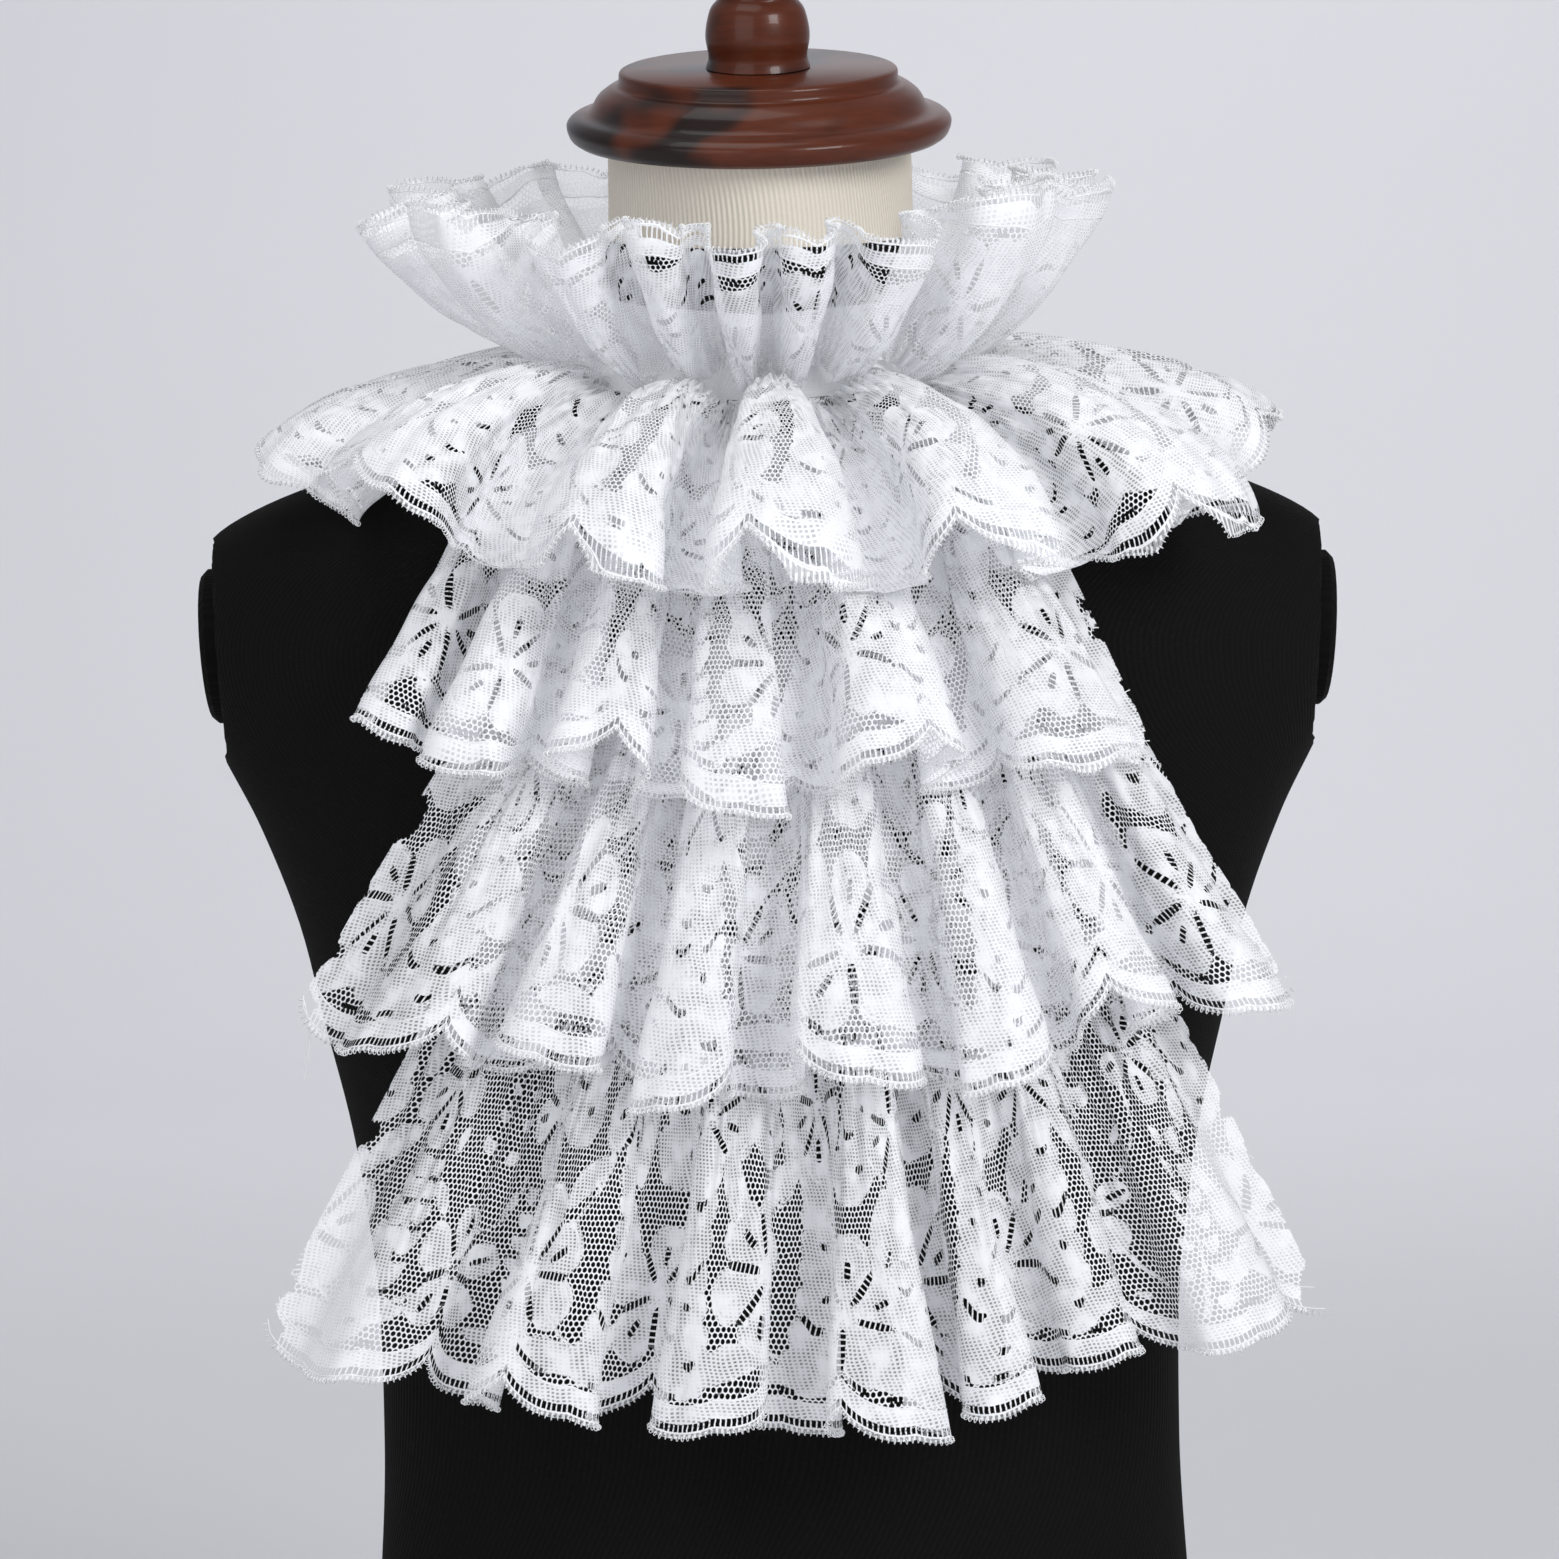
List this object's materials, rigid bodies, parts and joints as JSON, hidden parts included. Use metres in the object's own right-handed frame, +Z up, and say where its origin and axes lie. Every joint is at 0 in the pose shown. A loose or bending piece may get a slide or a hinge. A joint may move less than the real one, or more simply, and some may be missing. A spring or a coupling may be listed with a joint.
{
  "type": "detachable lace jabot collar on a limbless dress form",
  "caption": "Standing ruff, shoulder ruffle and layered jabot of gathered scalloped lace on a neck band, dressed on a covered dress form with a turned neck cap.",
  "frame": {"origin": "middle of the dress form's flat base", "axes": "+Z up through the neck, -Y to the front of the collar, +X to the right of someone who looks at the front"},
  "size_m": [0.4008, 0.363, 0.7178],
  "materials": {
    "lace": "white floral net lace",
    "form_cover": "black fine rib knit, matt",
    "neck_linen": "cream ribbed linen",
    "wood": "red-brown turned wood, gloss varnish"
  },
  "bodies": {
    "root": {"form_torso": "form_cover", "arm_plate_left": "form_cover", "arm_plate_right": "form_cover", "form_neck": "neck_linen", "neck_cap": "wood", "finial": "wood", "neck_band": "lace", "ruff": "lace", "cape": "lace", "bib": "lace", "tier_upper": "lace", "tier_middle": "lace", "tier_lower": "lace"}
  },
  "joints": []
}
